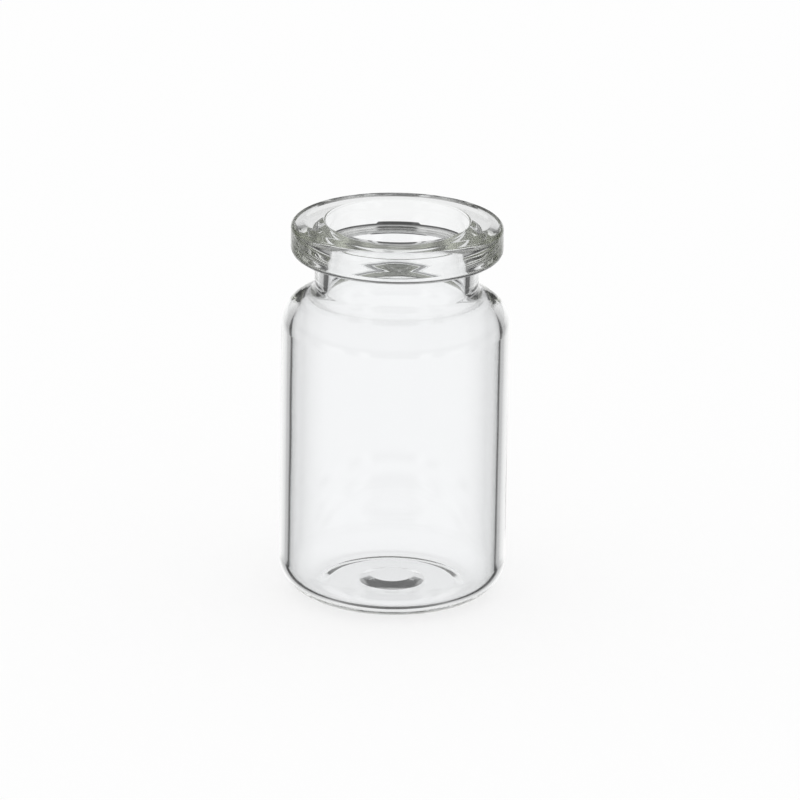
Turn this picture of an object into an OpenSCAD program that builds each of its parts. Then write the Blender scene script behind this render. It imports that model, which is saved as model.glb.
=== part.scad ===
// Clear glass sample vial with a 20 mm crimp finish.
// One piece of formed tubing: crimp flange, straight neck, sloping shoulder, barrel and flat base.
// Millimetres. The vial stands on Z = 0 and its axis is the Z axis.

/* [Overall] */
// Height from the standing ring to the top of the lip
height = 36.4; // [28:0.1:80]
// Outside diameter of the barrel
body_d = 21.5; // [21:0.1:28]
// Glass thickness of the barrel and the shoulder
wall = 1; // [0.7:0.05:1.3]

/* [Crimp flange] */
// Outside diameter of the crimp flange
flange_d = 20; // [18.5:0.1:21]
// Height of the flange from its underside to the lip
flange_h = 3.35; // [2.6:0.05:4.2]
// Edge radius at the foot of the flange
flange_foot_r = 0.8; // [0.3:0.1:1.2]
// Edge radius at the top of the flange
flange_top_r = 0.55; // [0.3:0.05:0.9]
// Diameter of the flat sealing land on top of the flange
land_d = 17.3; // [15.4:0.1:17.8]
// Slope of the bevel outside the sealing land, in degrees
bevel_angle = 12; // [5:1:18]

/* [Neck] */
// Bore through the neck
bore_d = 13; // [12:0.1:13.4]
// Width that the mouth gains on each side as it flares out to the lip
flare_w = 0.2; // [0.1:0.05:0.5]
// Depth of the flare under the lip
flare_h = 2.4; // [1.5:0.1:2.8]
// Radius where the bore bends into the flare
flare_r = 5; // [2:0.5:6]
// Radius of the rounded mouth edge
mouth_r = 0.3; // [0.2:0.05:0.6]
// Outside diameter of the neck
neck_d = 15.45; // [14.9:0.05:16.2]
// Length of the neck between the flange and the shoulder sweep
neck_h = 3; // [2.6:0.1:8]
// Fillet between the neck and the underside of the flange
collar_r = 0.3; // [0.2:0.1:0.9]

/* [Shoulder] */
// Slope of the shoulder below horizontal, in degrees
shoulder_angle = 29; // [26:1:40]
// Outside radius where the shoulder turns into the barrel
shoulder_r = 2.75; // [2:0.05:3.2]
// Outside radius where the neck sweeps into the shoulder
sweep_r = 0.65; // [0.4:0.05:1.2]
// Slope of the inside of the shoulder below horizontal, in degrees
inner_shoulder_angle = 20; // [18:1:28]
// Inside radius where the shoulder turns into the barrel
inner_shoulder_r = 2.65; // [2:0.05:2.9]
// How far the inside turns into the shoulder below the outside
inner_drop = 0.35; // [0:0.05:0.6]
// Inside radius where the bore opens into the shoulder
throat_r = 1.6; // [1.2:0.1:2]

/* [Base] */
// Glass thickness over the recess under the base
base_t = 0.8; // [0.5:0.05:1.5]
// Outside radius of the heel
heel_r = 3.35; // [2:0.05:3.6]
// Inside radius of the heel
inner_heel_r = 2.05; // [1:0.05:3]
// Width of the flat standing ring inside the heel
ring_w = 0.5; // [0.3:0.05:1.5]
// Depth of the recess under the base
recess_h = 0.15; // [0.1:0.05:0.6]
// Width of the ramp around the recess
recess_ramp = 0.95; // [0.2:0.05:1.5]
// Diameter of the low button left in the middle of the floor
button_d = 6.3; // [4:0.1:8]
// Diameter of the flat on top of the button
button_top_d = 3.9; // [2:0.1:5]
// Height of the button
button_h = 0.35; // [0.1:0.05:0.5]

/* [Hidden] */
$fn = 192;
glass_colour = [0.86, 0.9, 0.89, 0.35];

body_r = body_d / 2;
cavity_r = body_r - wall;
flange_r = flange_d / 2;
land_r = land_d / 2;
bore_r = bore_d / 2;
neck_r = neck_d / 2;
recess_r = body_r - heel_r - ring_w;
button_r = button_d / 2;
button_top_r = button_top_d / 2;

// Underside of the flange, and the level where the shoulder sweep leaves the neck
flange_z = height - flange_h;
sweep_z = flange_z - neck_h;

// Levels where the shoulder meets the straight barrel, outside and inside
shoulder_z = sweep_z - ogee_rise(neck_r, body_r, sweep_r, shoulder_r, shoulder_angle);
inner_shoulder_z = shoulder_z - inner_drop;

// Top of the floor, and how far cuts run past the surface that they open
floor_z = base_t + recess_h;
overrun = 1;

// How far the ends of a slope are sunk into the arcs that it meets
tuck = 0.001;

// Lean of the flare from vertical, and the centres of its bend from the bore and of its lip
flare_angle = atan(flare_w / flare_h);
bend_centre = [bore_r + flare_r, height - flare_h - flare_r * tan(flare_angle / 2)];
lip_centre = [bore_r + flare_w + mouth_r * tan(45 - flare_angle / 2), height - mouth_r];

// Centre of the arc at the top edge of the flange, touching the bevel and the rim
top_edge_x = flange_r - flange_top_r;
top_edge_z = height - (top_edge_x - land_r) * tan(bevel_angle) - flange_top_r / cos(bevel_angle);

// Rise of a double curve from radius r_out up to radius r_in, with a straight slope between its arcs
function ogee_rise(r_in, r_out, arc_in, arc_out, angle) =
    ((r_out - r_in - arc_in - arc_out) * sin(angle) + arc_in + arc_out) / cos(angle);

// The space under that double curve, from z_out upward
module ogee(r_in, r_out, arc_in, arc_out, angle, z_out) {
    z_in = z_out + ogee_rise(r_in, r_out, arc_in, arc_out, angle);
    low = [r_out - arc_out, z_out];
    high = [r_in + arc_in, z_in];
    away = [sin(angle), cos(angle)];
    difference() {
        polygon([
            [0, z_out],
            low,
            low + (arc_out - tuck) * away,
            high - (arc_in - tuck) * away,
            high,
            [0, z_in]
        ]);
        translate(high)
            circle(r = arc_in);
    }
    translate(low)
        circle(r = arc_out);
}

// A straight column about the axis with a rounded bottom edge
module rounded_column(r, edge_r, z_low, z_high) {
    translate([0, z_low])
        square([r - edge_r, z_high - z_low]);
    translate([0, z_low + edge_r])
        square([r, z_high - z_low - edge_r]);
    translate([r - edge_r, z_low + edge_r])
        circle(r = edge_r);
}

// Crimp flange: rounded foot, cylindrical rim, bevelled top round the sealing land
module flange_outline() {
    rounded_column(flange_r, flange_foot_r, flange_z, top_edge_z);
    translate([top_edge_x, top_edge_z])
        circle(r = flange_top_r);
    polygon([
        [0, top_edge_z],
        [top_edge_x, top_edge_z],
        [
            top_edge_x + (flange_top_r - tuck) * sin(bevel_angle),
            top_edge_z + (flange_top_r - tuck) * cos(bevel_angle)
        ],
        [land_r, height],
        [0, height]
    ]);
}

// Neck with the fillet that carries the flange
module neck_outline() {
    translate([0, sweep_z])
        square([neck_r, neck_h]);
    difference() {
        translate([0, flange_z - collar_r])
            square([neck_r + collar_r, collar_r]);
        translate([neck_r + collar_r, flange_z - collar_r])
            circle(r = collar_r);
    }
}

// Shoulder between the neck and the barrel
module shoulder_outline() {
    ogee(neck_r, body_r, sweep_r, shoulder_r, shoulder_angle, shoulder_z);
}

// Barrel with its rounded heel
module barrel_outline() {
    rounded_column(body_r, heel_r, 0, shoulder_z);
}

// Bore through the neck, and the flare up to the rounded mouth
module bore_space() {
    to_axis = [-cos(flare_angle), sin(flare_angle)];
    translate([0, shoulder_z])
        square([bore_r, height - shoulder_z + overrun]);
    difference() {
        polygon([
            [0, bend_centre.y],
            bend_centre,
            bend_centre + (flare_r - tuck) * to_axis,
            lip_centre + (mouth_r - tuck) * to_axis,
            lip_centre,
            [lip_centre.x, height + overrun],
            [0, height + overrun]
        ]);
        intersection() {
            translate(bend_centre)
                circle(r = flare_r);
            square([bend_centre.x, lip_centre.y]);
        }
        translate(lip_centre)
            circle(r = mouth_r);
    }
}

// Inside of the shoulder and the barrel down to the floor, around the button
module body_space() {
    ogee(bore_r, cavity_r, throat_r, inner_shoulder_r, inner_shoulder_angle, inner_shoulder_z);
    difference() {
        rounded_column(cavity_r, inner_heel_r, floor_z, inner_shoulder_z);
        polygon([
            [0, floor_z - tuck],
            [button_r, floor_z - tuck],
            [button_top_r, floor_z + button_h],
            [0, floor_z + button_h]
        ]);
    }
}

// Shallow recess under the base, inside the standing ring
module recess_space() {
    polygon([
        [0, -overrun],
        [recess_r, -overrun],
        [recess_r, 0],
        [recess_r - recess_ramp, recess_h],
        [0, recess_h]
    ]);
}

module vial() {
    color(glass_colour)
        rotate_extrude()
            difference() {
                union() {
                    flange_outline();
                    neck_outline();
                    shoulder_outline();
                    barrel_outline();
                }
                bore_space();
                body_space();
                recess_space();
            }
}

vial();
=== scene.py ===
"""Clear glass sample vial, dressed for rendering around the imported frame."""

import math

import bmesh
import bpy
import numpy as np
from mathutils import Matrix, Vector

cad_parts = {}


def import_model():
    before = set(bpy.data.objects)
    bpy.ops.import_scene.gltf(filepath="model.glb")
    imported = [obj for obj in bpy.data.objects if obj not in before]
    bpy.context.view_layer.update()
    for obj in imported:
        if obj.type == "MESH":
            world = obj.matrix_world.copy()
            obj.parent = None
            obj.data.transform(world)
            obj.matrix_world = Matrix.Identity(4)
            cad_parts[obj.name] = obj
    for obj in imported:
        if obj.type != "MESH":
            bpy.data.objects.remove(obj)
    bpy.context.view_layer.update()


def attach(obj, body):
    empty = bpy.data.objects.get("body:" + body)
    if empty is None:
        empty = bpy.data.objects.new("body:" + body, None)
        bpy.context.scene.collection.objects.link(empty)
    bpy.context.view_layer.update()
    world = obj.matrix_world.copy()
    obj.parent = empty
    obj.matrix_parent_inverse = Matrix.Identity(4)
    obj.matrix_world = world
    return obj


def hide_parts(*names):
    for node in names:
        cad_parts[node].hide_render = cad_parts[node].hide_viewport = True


MM = 0.001

# Vial sizes in millimetres, the same as in the CAD source
HEIGHT = 36.4
BODY_R = 10.75
WALL = 1.0
FLANGE_R = 10.0
FLANGE_H = 3.35
FLANGE_FOOT_R = 0.8
FLANGE_TOP_R = 0.55
LAND_R = 8.65
BEVEL_ANGLE = math.radians(12)
BORE_R = 6.5
FLARE_W = 0.2
FLARE_H = 2.4
FLARE_R = 5.0
MOUTH_R = 0.3
NECK_R = 7.725
NECK_H = 3.0
COLLAR_R = 0.3
SHOULDER_ANGLE = math.radians(29)
SHOULDER_R = 2.75
SWEEP_R = 0.65
INNER_SHOULDER_ANGLE = math.radians(20)
INNER_SHOULDER_R = 2.65
INNER_DROP = 0.35
THROAT_R = 1.6
BASE_T = 0.8
HEEL_R = 3.35
INNER_HEEL_R = 2.05
RING_W = 0.5
RECESS_H = 0.15
RECESS_RAMP = 0.95
BUTTON_R = 3.15
BUTTON_TOP_R = 1.95
BUTTON_H = 0.35

# Soft edges in millimetres where the CAD has a sharp one: recess, sealing land and button
RECESS_TOP_EDGE = 0.3
RECESS_FOOT_EDGE = 0.2
LAND_EDGE = 1.5
BUTTON_FOOT_EDGE = 0.8
BUTTON_TOP_EDGE = 1.5

# Marks of the forming tool: shallow rings on the shoulder's slope and round the foot of the neck
SHOULDER_RINGS = (9.1, 8.6)
NECK_RING = 0.4
RING_DEPTH = 0.006
RING_HALF = 0.2
RING_R = 1.5

# Slight waves of the formed glass: waves round the axis, turns for each mm of height, and size in mm
WAVES = ((2, 0.02, 0.012), (3, -0.05, 0.009), (5, 0.11, 0.006), (8, -0.19, 0.003), (13, 0.31, 0.0015))
# Their share on the barrel, and the height in mm over which they grow to full size above it
BARREL_WAVES = 0.3
WAVES_GROW_FROM = 26
WAVES_GROW_OVER = 3
# How far the waves of the inner surface are turned from those of the outer one, in turns
INNER_TWIST = 0.37

# Mesh: divisions round the axis, how far in mm the guard points are from the ends of a line, and longest steps
SEGMENTS = 288
GUARD = 0.02
ARC_STEP = math.radians(6)
LEAST_ARC_STEPS = 4
LINE_STEP = 1.5

# Glass: refraction, and a faint tint that drifts between two colours. Scales count noise cells in a metre.
GLASS_IOR = 1.49
TINT_A = (0.989, 0.992, 0.999, 1)
TINT_B = (0.981, 0.988, 0.993, 1)
TINT_SCALE = 180
# What the glass takes from light on its way through
ABSORB_COLOUR = (0.9, 0.912, 0.862, 1)
ABSORB_DENSITY = 30
# Draw lines along the tube: scale across them and its share along them, strength, and depth in metres
DRAW_SCALE = 700
DRAW_STRETCH = 0.04
DRAW_STRENGTH = 0.15
DRAW_DEPTH = 0.00002
# Wear on the standing ring: the heights in metres between which it ends, where its noise counts, and roughness
WEAR_SCALE = 1400
WEAR_ENDS = (0.00003, 0.00012)
WEAR_NOISE = (0.4, 0.65)
WEAR_ROUGHNESS = (0.02, 0.1)
# Scuffs all over: where their noise counts, and roughness
SCUFF_SCALE = 900
SCUFF_NOISE = (0.7, 0.76)
SCUFF_ROUGHNESS = 0.12

# How bright the studio is where the glass looks, with 1 as white. Azimuths are in degrees from straight ahead,
# the same on both sides. The table is white, with black cards on it at 40 to 51 degrees, dark ones at the sides
# and at 129 to 140 degrees, and the dark behind the camera. The room is grey, with a soft box on each side of
# the camera at 106 to 150 degrees.
TABLE_AROUND = (
    (0, 1.0), (17, 1.0), (28, 0.65), (36, 0.55), (40, 0.08), (51, 0.06), (64, 0.35), (80, 0.4), (86, 0.1),
    (94, 0.1), (100, 0.5), (106, 0.75), (124, 0.8), (129, 0.2), (140, 0.2), (145, 0.9), (152, 0.9),
    (157, 0.04), (180, 0.04),
)
ROOM_AROUND = (
    (0, 0.1), (36, 0.1), (40, 0.05), (51, 0.05),
    (64, 0.25), (90, 0.35), (106, 0.7), (150, 0.8), (156, 0.05), (180, 0.05),
)
# The pairs below are the two ends of a soft edge. RISE is the upward part of a ray's direction, from -1 to 1.
# AHEAD is the forward part of its level direction, from 1 straight ahead to -1 on the camera's side.
# Steeply down on the camera's side, all moves forward by up to LEAN half turns, so the dark there is wider.
LEAN = 0.067
LEAN_RISE = (-0.42, -0.64)
LEAN_AHEAD = (-0.5, -0.75)
# An even strip lies across the table on the camera's side.
STRIP = 0.65
STRIP_LOW_RISE = (-0.42, -0.36)
STRIP_HIGH_RISE = (-0.3, -0.26)
STRIP_AHEAD = (0.2, 0.0)
# Right below the glass lies a painted shadow of the vial on the table; it is brighter on the camera's side than
# ahead.
SHADOW_BELOW_MEAN = 0.4
SHADOW_BELOW_SWING = 0.3
SHADOW_BELOW_RISE = (-0.88, -0.77)
# The ceiling begins lower ahead than on the camera's side.
CEILING = 0.36
CEILING_RISE = (0.6, 0.8)
CEILING_TILT = 0.15
# The wall stands for the room where a ray has bounced once at most. It is dark at the horizon, grey above.
HORIZON = 0.07
HORIZON_RISE = (-0.02, 0.03)
WALL_AHEAD = 0.45
WALL_RISE = (0.08, 0.34)
# A narrow dark band straight ahead reaches below the horizon. Its half width is in half turns.
NARROW_DARK_DROP = 0.13
NARROW_DARK_HALF = (0.014, 0.017)
# Shortest level part of a direction that still counts as one
LEAST_LEVEL = 0.01

# Light is trapped in the flange, and many rays need about this many bounces to leave it
BOUNCES = 72

# Floor: radius and height in metres, just under the vial, its grey, and what it adds for the camera alone
FLOOR_R = 3.0
FLOOR_SIDES = 64
FLOOR_Z = -0.0001
FLOOR_GREY = 0.24
FLOOR_GLOW = 0.75

# Camera: angle above the horizon, roll, distance in metres, and metres at the vial for each of 800 pixels
ELEVATION = math.radians(18.55)
ROLL = math.radians(0.97)
DISTANCE = 0.7
PIXEL = 1 / 10600
HALF_PICTURE = 400
SENSOR = 36
CLIP = (0.01, 20)
# The height on the axis that it aims at in metres, and how far it is moved right and up from there in pixels
AIM_Z = 0.018
AIM_RIGHT = 5.57
AIM_UP = 6.7


def ogee_rise(r_in, r_out, arc_in, arc_out):
    """Height of the shoulder's double curve between its two tangent levels."""
    s = math.sin(SHOULDER_ANGLE)
    c = math.cos(SHOULDER_ANGLE)
    return ((r_out - r_in - arc_in - arc_out) * s + arc_in + arc_out) / c


def slope_corners(angle, r_in, r_out, arc_out, z_out):
    """Where the shoulder's slope would meet the upright lines on both sides."""
    low_x = r_out - arc_out + arc_out * math.sin(angle)
    low_z = z_out + arc_out * math.cos(angle)
    low = (r_out, low_z - (r_out - low_x) * math.tan(angle))
    high = (r_in, low_z + (low_x - r_in) * math.tan(angle))
    return low, high


def ring_corners(x, z, along):
    """Corners of one shallow ring that is pressed into the outside, along the direction of the surface."""
    inward = (-along[1], along[0])
    return [
        (x - along[0] * RING_HALF, z - along[1] * RING_HALF, RING_R),
        (x + inward[0] * RING_DEPTH, z + inward[1] * RING_DEPTH, RING_R),
        (x + along[0] * RING_HALF, z + along[1] * RING_HALF, RING_R),
    ]


def rounded_path(corners):
    """Points along a chain of straight lines whose corners are turned with the given radii."""
    pts = [np.array(c[:2], float) for c in corners]
    radii = [c[2] for c in corners]
    out = [pts[0]]
    for i in range(1, len(pts) - 1):
        u = (pts[i] - pts[i - 1]) / np.linalg.norm(pts[i] - pts[i - 1])
        v = (pts[i + 1] - pts[i]) / np.linalg.norm(pts[i + 1] - pts[i])
        turn = math.acos(max(-1, min(1, float(u @ v))))
        cut = radii[i] * math.tan(turn / 2)
        start = pts[i] - u * cut
        out += line(out[-1], start)
        side = math.copysign(1, u[0] * v[1] - u[1] * v[0])
        centre = start + side * radii[i] * np.array([-u[1], u[0]])
        d = start - centre
        steps = max(LEAST_ARC_STEPS, math.ceil(turn / ARC_STEP))
        for k in range(1, steps + 1):
            ang = side * turn * k / steps
            out.append(centre + np.array([
                d[0] * math.cos(ang) - d[1] * math.sin(ang),
                d[0] * math.sin(ang) + d[1] * math.cos(ang),
            ]))
    out += line(out[-1], pts[-1])
    return np.array(out)


def line(a, b):
    """Points after a up to b, with one close to each end so that the shading stays true."""
    length = float(np.linalg.norm(b - a))
    if length < 3 * GUARD:
        return [b]
    n = max(1, math.ceil(length / LINE_STEP))
    t = [GUARD / length] + [k / n for k in range(1, n)] + [1 - GUARD / length, 1]
    return [a + (b - a) * x for x in t]


def vial_profile():
    """The closed section of the glass, from the middle of the base round to the middle of the floor."""
    flange_z = HEIGHT - FLANGE_H
    sweep_z = flange_z - NECK_H
    cavity_r = BODY_R - WALL
    shoulder_z = sweep_z - ogee_rise(NECK_R, BODY_R, SWEEP_R, SHOULDER_R)
    inner_shoulder_z = shoulder_z - INNER_DROP
    floor_z = BASE_T + RECESS_H
    recess_r = BODY_R - HEEL_R - RING_W
    outer_low, outer_high = slope_corners(SHOULDER_ANGLE, NECK_R, BODY_R, SHOULDER_R, shoulder_z)
    inner_low, inner_high = slope_corners(
        INNER_SHOULDER_ANGLE, BORE_R, cavity_r, INNER_SHOULDER_R, inner_shoulder_z)
    rim_top = HEIGHT - (FLANGE_R - LAND_R) * math.tan(BEVEL_ANGLE)
    up_slope = (-math.cos(SHOULDER_ANGLE), math.sin(SHOULDER_ANGLE))
    rings = []
    for r in SHOULDER_RINGS:
        z = outer_low[1] + (outer_low[0] - r) * math.tan(SHOULDER_ANGLE)
        rings += ring_corners(r, z, up_slope)
    return rounded_path([
        (0, RECESS_H, 0),
        (recess_r - RECESS_RAMP, RECESS_H, RECESS_TOP_EDGE),
        (recess_r, 0, RECESS_FOOT_EDGE),
        (BODY_R, 0, HEEL_R),
        (*outer_low, SHOULDER_R),
        *rings,
        (*outer_high, SWEEP_R),
        *ring_corners(NECK_R, sweep_z + NECK_RING, (0, 1)),
        (NECK_R, flange_z, COLLAR_R),
        (FLANGE_R, flange_z, FLANGE_FOOT_R),
        (FLANGE_R, rim_top, FLANGE_TOP_R),
        (LAND_R, HEIGHT, LAND_EDGE),
        (BORE_R + FLARE_W, HEIGHT, MOUTH_R),
        (BORE_R, HEIGHT - FLARE_H, FLARE_R),
        (*inner_high, THROAT_R),
        (*inner_low, INNER_SHOULDER_R),
        (cavity_r, floor_z, INNER_HEEL_R),
        (BUTTON_R, floor_z, BUTTON_FOOT_EDGE),
        (BUTTON_TOP_R, floor_z + BUTTON_H, BUTTON_TOP_EDGE),
        (0, floor_z + BUTTON_H, 0),
    ])


def waviness(profile, ang):
    """How far each point is drawn in, in mm, by angle and place on the profile. It is never outward.

    The inner surface's own waves begin gradually across the sealing land, so that no face folds over.
    """
    r = profile[:, 0]
    z = profile[:, 1]
    top = int(np.argmax(z))
    mouth = BORE_R + FLARE_W + MOUTH_R
    across_land = np.clip((r[top] - r) / (r[top] - mouth), 0, 1)
    inner = np.maximum.accumulate(np.where(np.arange(len(profile)) < top, 0, across_land))
    share = BARREL_WAVES + (1 - BARREL_WAVES) * np.clip((z - WAVES_GROW_FROM) / WAVES_GROW_OVER, 0, 1)
    total = np.zeros((len(ang), len(profile)))
    for count, turns, size in WAVES:
        phase = 2 * math.pi * (turns * z + INNER_TWIST * inner * count)
        total += size * (1 + np.cos(count * ang[:, None] + phase))
    return total * share * np.clip(r / BORE_R, 0, 1)


def lathe(name, profile):
    """A closed mesh of revolution about Z. The profile starts and ends on the axis."""
    ring = profile[1:-1] * MM
    n = len(ring)
    ang = np.arange(SEGMENTS) * 2 * math.pi / SEGMENTS
    radius = ring[:, 0] - waviness(profile[1:-1], ang) * MM
    co = np.empty((SEGMENTS, n, 3))
    co[:, :, 0] = np.cos(ang)[:, None] * radius
    co[:, :, 1] = np.sin(ang)[:, None] * radius
    co[:, :, 2] = ring[:, 1]
    verts = [tuple(v) for v in co.reshape(-1, 3)]
    first = len(verts)
    verts += [(0, 0, profile[0, 1] * MM), (0, 0, profile[-1, 1] * MM)]
    faces = []
    for i in range(SEGMENTS):
        j = (i + 1) % SEGMENTS
        faces.append((first, j * n, i * n))
        faces.append((first + 1, i * n + n - 1, j * n + n - 1))
        faces += [(i * n + k, j * n + k, j * n + k + 1, i * n + k + 1) for k in range(n - 1)]
    mesh = bpy.data.meshes.new(name)
    mesh.from_pydata(verts, [], faces)
    mesh.shade_smooth()
    obj = bpy.data.objects.new(name, mesh)
    bpy.context.scene.collection.objects.link(obj)
    return obj


def feed(nt, socket, value):
    """Sets a socket to a number, or links it to another node's output."""
    if isinstance(value, (int, float)):
        socket.default_value = value
    else:
        nt.links.new(value, socket)


def noise_node(nt, place, scale, detail):
    """Noise from 0 to 1 at a place."""
    n = nt.nodes.new("ShaderNodeTexNoise")
    n.inputs["Scale"].default_value = scale
    n.inputs["Detail"].default_value = detail
    nt.links.new(place, n.inputs["Vector"])
    return n.outputs["Fac"]


def math_node(nt, op, *values):
    """The result of one operation on one or two values."""
    n = nt.nodes.new("ShaderNodeMath")
    n.operation = op
    for socket, value in zip(n.inputs, values):
        feed(nt, socket, value)
    return n.outputs[0]


def ramp_node(nt, value, ends, low, high):
    """A smooth step of value, from low at the first end to high at the second."""
    n = nt.nodes.new("ShaderNodeMapRange")
    n.interpolation_type = "SMOOTHSTEP"
    n.inputs["From Min"].default_value = ends[0]
    n.inputs["From Max"].default_value = ends[1]
    feed(nt, n.inputs["Value"], value)
    feed(nt, n.inputs["To Min"], low)
    feed(nt, n.inputs["To Max"], high)
    return n.outputs["Result"]


def mix_node(nt, factor, a, b):
    """The value a where the factor is 0, and b where it is 1."""
    n = nt.nodes.new("ShaderNodeMix")
    n.data_type = "FLOAT"
    for socket, value in zip(n.inputs[0:1] + n.inputs[2:4], (factor, a, b)):
        feed(nt, socket, value)
    return n.outputs[0]


def glass_material():
    """Clear drawn glass with a faint tint, draw lines along the tube, wear where it stands, and scuffs."""
    mat = bpy.data.materials.new("vial_glass")
    mat.use_nodes = True
    nt = mat.node_tree
    bsdf = nt.nodes["Principled BSDF"]
    bsdf.inputs["IOR"].default_value = GLASS_IOR
    bsdf.inputs["Transmission Weight"].default_value = 1.0
    coord = nt.nodes.new("ShaderNodeTexCoord")
    place = coord.outputs["Object"]
    sep = nt.nodes.new("ShaderNodeSeparateXYZ")
    nt.links.new(place, sep.inputs[0])

    tint = nt.nodes.new("ShaderNodeMix")
    tint.data_type = "RGBA"
    tint.inputs["A"].default_value = TINT_A
    tint.inputs["B"].default_value = TINT_B
    nt.links.new(noise_node(nt, place, TINT_SCALE, 2), tint.inputs["Factor"])
    nt.links.new(tint.outputs["Result"], bsdf.inputs["Base Color"])

    stretch = nt.nodes.new("ShaderNodeMapping")
    stretch.inputs["Scale"].default_value = (1, 1, DRAW_STRETCH)
    nt.links.new(place, stretch.inputs["Vector"])
    bump = nt.nodes.new("ShaderNodeBump")
    bump.inputs["Strength"].default_value = DRAW_STRENGTH
    bump.inputs["Distance"].default_value = DRAW_DEPTH
    nt.links.new(noise_node(nt, stretch.outputs["Vector"], DRAW_SCALE, 2), bump.inputs["Height"])
    nt.links.new(bump.outputs["Normal"], bsdf.inputs["Normal"])

    standing = ramp_node(nt, sep.outputs["Z"], WEAR_ENDS, 1.0, 0.0)
    wear = ramp_node(nt, noise_node(nt, place, WEAR_SCALE, 3), WEAR_NOISE, *WEAR_ROUGHNESS)
    worn = math_node(nt, "MULTIPLY", standing, wear)
    scuffs = ramp_node(nt, noise_node(nt, place, SCUFF_SCALE, 4), SCUFF_NOISE, 0.0, SCUFF_ROUGHNESS)
    nt.links.new(math_node(nt, "MAXIMUM", worn, scuffs), bsdf.inputs["Roughness"])

    absorb = nt.nodes.new("ShaderNodeVolumeAbsorption")
    absorb.inputs["Color"].default_value = ABSORB_COLOUR
    absorb.inputs["Density"].default_value = ABSORB_DENSITY
    nt.links.new(absorb.outputs["Volume"], nt.nodes["Material Output"].inputs["Volume"])
    return mat


def around(nt, azimuth, stops):
    """The brightness at an azimuth, from stops that are joined by straight lines."""
    n = nt.nodes.new("ShaderNodeValToRGB")
    nt.links.new(azimuth, n.inputs["Fac"])
    els = n.color_ramp.elements
    while len(els) < len(stops):
        els.new(0.5)
    for el, (degrees, v) in zip(els, stops):
        el.position = degrees / 180
        el.color = (v, v, v, 1)
    return n.outputs["Color"]


def direction(nt):
    """A ray's rise, its share ahead of the camera, and its azimuth from straight ahead in half turns."""
    coord = nt.nodes.new("ShaderNodeTexCoord")
    sep = nt.nodes.new("ShaderNodeSeparateXYZ")
    nt.links.new(coord.outputs["Generated"], sep.inputs[0])
    x, y, rise = sep.outputs
    squares = math_node(nt, "ADD", math_node(nt, "MULTIPLY", x, x), math_node(nt, "MULTIPLY", y, y))
    level = math_node(nt, "MAXIMUM", math_node(nt, "SQRT", squares), LEAST_LEVEL)
    ahead = math_node(nt, "DIVIDE", y, level)
    turn = math_node(nt, "ARCTAN2", math_node(nt, "ABSOLUTE", x), y)
    return rise, ahead, math_node(nt, "DIVIDE", turn, math.pi)


def table_light(nt, rise, ahead, azimuth):
    """What a bounced ray sees below the horizon: the table with its cards and strip, and a painted shadow of the
    vial right below.
    """
    down = ramp_node(nt, rise, LEAN_RISE, 0.0, 1.0)
    lean = math_node(nt, "MULTIPLY", down, ramp_node(nt, ahead, LEAN_AHEAD, 0.0, LEAN))
    table = around(nt, math_node(nt, "ADD", azimuth, lean), TABLE_AROUND)
    over_low = ramp_node(nt, rise, STRIP_LOW_RISE, 0.0, 1.0)
    under_high = ramp_node(nt, rise, STRIP_HIGH_RISE, 1.0, 0.0)
    strip = math_node(nt, "MULTIPLY", over_low, under_high)
    strip = math_node(nt, "MULTIPLY", strip, ramp_node(nt, ahead, STRIP_AHEAD, 0.0, 1.0))
    table = mix_node(nt, strip, table, STRIP)
    # Painted shadow of the vial on the table right below it, darkest ahead and brighter on the camera's side
    painted_shadow_below = math_node(nt, "SUBTRACT", SHADOW_BELOW_MEAN, math_node(nt, "MULTIPLY", ahead, SHADOW_BELOW_SWING))
    return mix_node(nt, ramp_node(nt, rise, SHADOW_BELOW_RISE, 1.0, 0.0), table, painted_shadow_below)


def room_light(nt, rise, ahead, azimuth):
    """What a ray that has bounced twice or more sees above the horizon: the room and its ceiling."""
    tilted = math_node(nt, "ADD", rise, math_node(nt, "MULTIPLY", ahead, CEILING_TILT))
    overhead = ramp_node(nt, tilted, CEILING_RISE, 0.0, 1.0)
    return mix_node(nt, overhead, around(nt, azimuth, ROOM_AROUND), CEILING)


def glass_view(nt, light):
    """What a ray from the glass sees, by its direction and by how often it has bounced.

    Below the horizon a ray that is only refracted sees plain white, and a bounced ray sees the table. Above it,
    the wall gives way to the room from the second bounce on. The narrow dark band straight ahead shows only to
    rays that are reflected outside or went through one wall.
    """
    rise, ahead, azimuth = direction(nt)
    bounces = light.outputs["Glossy Depth"]
    has_bounced = math_node(nt, "GREATER_THAN", bounces, 0.5)
    has_bounced_twice = math_node(nt, "GREATER_THAN", bounces, 1.5)
    steps = math_node(nt, "ADD", light.outputs["Transmission Depth"], has_bounced)
    one_wall = math_node(nt, "LESS_THAN", steps, 2.5)
    # The narrow dark band straight ahead, which lowers the horizon for rays reflected outside or through one
    # wall
    narrow_dark = math_node(nt, "MULTIPLY", one_wall, ramp_node(nt, azimuth, NARROW_DARK_HALF, NARROW_DARK_DROP, 0.0))
    above = ramp_node(nt, math_node(nt, "ADD", rise, narrow_dark), HORIZON_RISE, 0.0, 1.0)
    wall = ramp_node(nt, rise, WALL_RISE, HORIZON, WALL_AHEAD)
    upper = mix_node(nt, has_bounced_twice, wall, room_light(nt, rise, ahead, azimuth))
    lower = mix_node(nt, has_bounced, 1.0, table_light(nt, rise, ahead, azimuth))
    return mix_node(nt, above, lower, upper)


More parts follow.
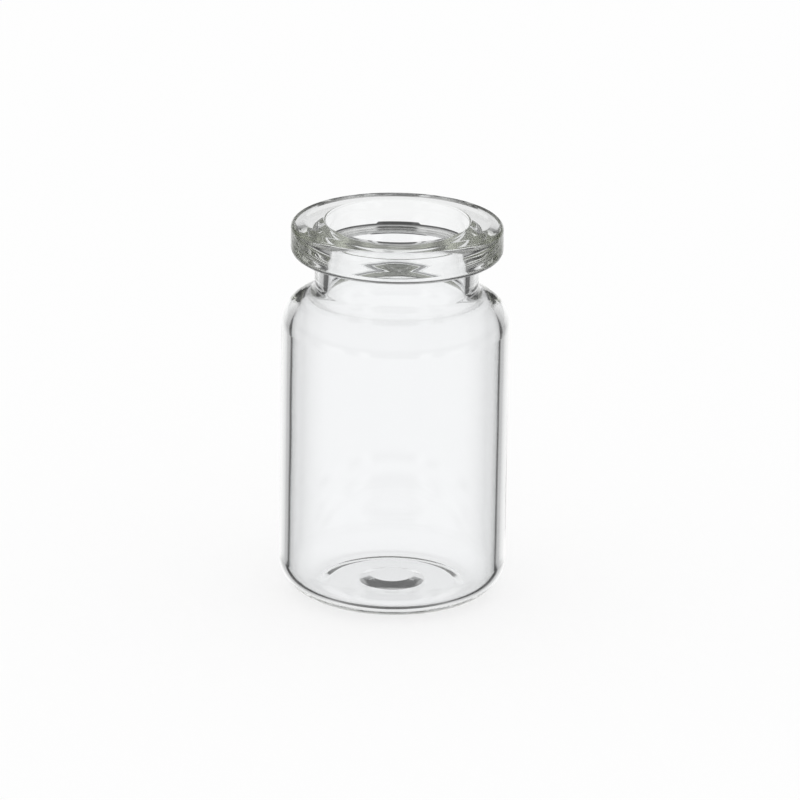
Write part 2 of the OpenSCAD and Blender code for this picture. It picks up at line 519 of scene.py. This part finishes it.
def studio_world():
    """White for the camera and the floor, and for the glass the studio that stands round the vial."""
    world = bpy.data.worlds.new("studio")
    bpy.context.scene.world = world
    world.use_nodes = True
    nt = world.node_tree
    nt.nodes.clear()
    out = nt.nodes.new("ShaderNodeOutputWorld")
    bg = nt.nodes.new("ShaderNodeBackground")
    bg.inputs["Color"].default_value = (1, 1, 1, 1)
    nt.links.new(bg.outputs[0], out.inputs["Surface"])
    light = nt.nodes.new("ShaderNodeLightPath")
    from_glass = math_node(nt, "MAXIMUM", light.outputs["Is Transmission Ray"], light.outputs["Is Glossy Ray"])
    before_floor = math_node(nt, "LESS_THAN", light.outputs["Diffuse Depth"], 0.5)
    by_glass = math_node(nt, "MULTIPLY", from_glass, before_floor)
    nt.links.new(mix_node(nt, by_glass, 1.0, glass_view(nt, light)), bg.inputs["Strength"])


def floor():
    """The pale floor. It takes the vial's shadow, and the glass doesn't see it."""
    mesh = bpy.data.meshes.new("floor")
    bm = bmesh.new()
    bmesh.ops.create_circle(bm, cap_ends=True, radius=FLOOR_R, segments=FLOOR_SIDES)
    bm.to_mesh(mesh)
    bm.free()
    obj = bpy.data.objects.new("floor", mesh)
    bpy.context.scene.collection.objects.link(obj)
    obj.location.z = FLOOR_Z
    obj.visible_transmission = False
    obj.visible_glossy = False
    mat = bpy.data.materials.new("floor_pale")
    mat.use_nodes = True
    nt = mat.node_tree
    bsdf = nt.nodes["Principled BSDF"]
    bsdf.inputs["Base Color"].default_value = (FLOOR_GREY, FLOOR_GREY, FLOOR_GREY, 1)
    bsdf.inputs["Roughness"].default_value = 1.0
    bsdf.inputs["Specular IOR Level"].default_value = 0.0
    bsdf.inputs["Emission Color"].default_value = (1, 1, 1, 1)
    light = nt.nodes.new("ShaderNodeLightPath")
    glow = math_node(nt, "MULTIPLY", light.outputs["Is Camera Ray"], FLOOR_GLOW)
    nt.links.new(glow, bsdf.inputs["Emission Strength"])
    mesh.materials.append(mat)


def camera():
    """The camera at the photograph's angle, far enough away that its rays are almost parallel."""
    right = Vector((1, 0, 0))
    up = Vector((0, math.sin(ELEVATION), math.cos(ELEVATION)))
    back = Vector((0, -math.cos(ELEVATION), math.sin(ELEVATION)))
    rolled_right = right * math.cos(ROLL) + up * math.sin(ROLL)
    rolled_up = up * math.cos(ROLL) - right * math.sin(ROLL)
    cam = bpy.data.cameras.new("camera")
    cam.sensor_width = SENSOR
    cam.lens = SENSOR / 2 * DISTANCE / (HALF_PICTURE * PIXEL)
    cam.clip_start, cam.clip_end = CLIP
    obj = bpy.data.objects.new("camera", cam)
    bpy.context.scene.collection.objects.link(obj)
    place = Matrix((rolled_right, rolled_up, back)).transposed().to_4x4()
    aim = Vector((0, 0, AIM_Z)) + back * DISTANCE
    place.translation = aim + rolled_right * AIM_RIGHT * PIXEL + rolled_up * AIM_UP * PIXEL
    obj.matrix_world = place
    bpy.context.scene.camera = obj


def main():
    """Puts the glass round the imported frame, with its studio, floor and camera."""
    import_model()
    scene = bpy.context.scene
    scene.view_settings.view_transform = "Standard"
    scene.cycles.max_bounces = BOUNCES
    scene.cycles.transmission_bounces = BOUNCES
    scene.cycles.glossy_bounces = BOUNCES
    camera()
    studio_world()
    floor()
    vial = lathe("vial_glass", vial_profile())
    vial.data.materials.append(glass_material())
    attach(vial, "root")
    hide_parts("vial")


main()
